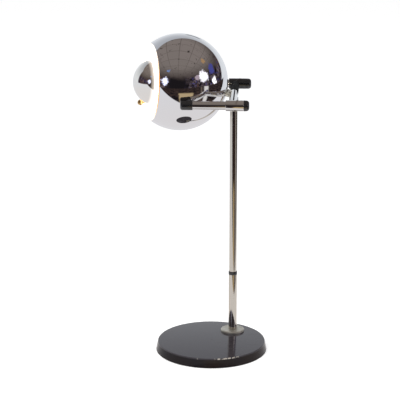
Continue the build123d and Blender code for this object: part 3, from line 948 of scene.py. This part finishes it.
def make_room():
    """Plain white for the camera, soft even light, and a dim room for mirror finishes."""
    world = bpy.data.worlds.new("room")
    bpy.context.scene.world = world
    world.use_nodes = True
    tree = world.node_tree
    place = add_node(tree, "ShaderNodeTexCoord").outputs["Generated"]
    height = axes_of(tree, place)["Z"]
    uneven = sums(tree, "MULTIPLY", cloud(tree, place, 4.0, 4.0), 0.3)
    above = soft_step(tree, sums(tree, "ADD", height, uneven), 0.38, 0.58)
    room = mix(tree, above, clutter_colour(tree, place), ceiling_colour(tree, place, height))
    room = with_windows(tree, place, room)
    seen = mix(tree, backdrop_mask(tree, place, height), room, backdrop_colour(tree, place, height))
    path = add_node(tree, "ShaderNodeLightPath").outputs
    plain = mix(tree, path["Is Glossy Ray"], (surround_level,) * 3, seen)
    plain = mix(tree, path["Is Camera Ray"], plain, (1.0, 1.0, 1.0))
    plain = mix(tree, path["Is Transmission Ray"], plain, (1.0, 1.0, 1.0))
    wire(tree, plain, tree.nodes["Background"].inputs["Color"])


def floor_colour(tree):
    """The floor in mirror finishes: a pale sheet, and dark boards past its slanted front edge."""
    place = object_place(tree)
    from_middle = vector_sums(tree, "LENGTH", place)
    paper = mix(tree, ramp(tree, from_middle, 0.1, 2.2), (0.8, 0.775, 0.785), (0.78, 0.8, 0.85))
    spots = noise(tree, place, Scale=2.6, Detail=6.0, Roughness=0.6)
    ground = mix(tree, ramp(tree, spots, 0.4, 0.7), (0.008, 0.007, 0.01), (0.085, 0.055, 0.045))
    axes = axes_of(tree, place)
    turn = sums(tree, "ARCTAN2", axes["X"], sums(tree, "MULTIPLY", axes["Y"], -1.0))
    for middle, half, reach, colour in floor_patches:
        half = math.radians(half)
        off_line = sums(tree, "ABSOLUTE", sums(tree, "SUBTRACT", turn, math.radians(middle)))
        frayed = sums(tree, "MULTIPLY_ADD", spots, patch_fray, off_line)
        across = ramp(tree, frayed, half + 0.11, half + 0.04)
        close = ramp(tree, from_middle, reach * 1.15, reach * 0.9)
        ground = mix(tree, sums(tree, "MULTIPLY", across, close), ground, colour)
    onto_sheet = ramp(tree, along(tree, place, (-diagonal, diagonal, 0.0)),
                      sheet_front - sheet_front_blur, sheet_front + sheet_front_blur)
    return mix(tree, onto_sheet, ground, paper)


def make_floor():
    """A pale sheet under the lamp, lifted to white for the camera."""
    nothing_selected()
    bpy.ops.mesh.primitive_grid_add(x_subdivisions=8, y_subdivisions=8, size=floor_size)
    floor = bpy.context.object
    floor.name = "floor_sheet"
    made, tree, shader = new_material("floor_paper", (0.93, 0.93, 0.93), 0.0, Roughness=0.8,
                                      Specular_IOR_Level=0.1)
    path = add_node(tree, "ShaderNodeLightPath").outputs
    lift = sums(tree, "MULTIPLY", path["Is Camera Ray"], floor_lift)
    white = add_node(tree, "ShaderNodeEmission", Color=(1.0, 1.0, 1.0), Strength=lift)
    lifted = add_node(tree, "ShaderNodeAddShader")
    wire(tree, shader.outputs["BSDF"], lifted.inputs[0])
    wire(tree, white.outputs["Emission"], lifted.inputs[1])
    mirrored = add_node(tree, "ShaderNodeEmission", Color=floor_colour(tree))
    last = add_node(tree, "ShaderNodeMixShader")
    wire(tree, path["Is Glossy Ray"], last.inputs["Fac"])
    wire(tree, lifted.outputs["Shader"], last.inputs[1])
    wire(tree, mirrored.outputs["Emission"], last.inputs[2])
    wire(tree, last.outputs["Shader"], tree.nodes["Material Output"].inputs["Surface"])
    floor.data.materials.append(made)


def make_light(name, place, aim, size, power, colour):
    data = bpy.data.lights.new(name, "AREA")
    data.shape = "DISK"
    data.size = size
    data.energy = power
    data.color = colour
    light = bpy.data.objects.new(name, data)
    bpy.context.scene.collection.objects.link(light)
    light.location = place
    light.rotation_euler = (Vector(aim) - Vector(place)).to_track_quat("-Z", "Y").to_euler()
    light.visible_glossy = False


def make_camera():
    back = direction(camera_azimuth, camera_elevation)
    data = bpy.data.cameras.new("view")
    data.sensor_width = sensor_width
    data.lens = sensor_width * camera_focal_px / photo_width_px
    camera = bpy.data.objects.new("view", data)
    bpy.context.scene.collection.objects.link(camera)
    camera.location = camera_aim + back * camera_distance
    camera.rotation_euler = (-back).to_track_quat("-Z", "Y").to_euler()
    bpy.context.scene.camera = camera


make_camera()
make_shade()
make_bulb()
make_knob()
make_pole()
make_cross_bar()
make_bar("near", tube_chrome)
make_bar("far", black_plastic)
make_base()
dress_the_rest()
make_room()
make_floor()
make_light("key", (-1.1, -1.3, 1.7), (0.0, 0.0, 0.25), 0.9, 26.0, (1.0, 0.98, 0.96))
make_light("fill", (1.5, -0.9, 1.2), (0.0, 0.0, 0.2), 1.2, 12.0, (0.97, 0.98, 1.0))
bpy.context.scene.view_settings.view_transform = "Standard"
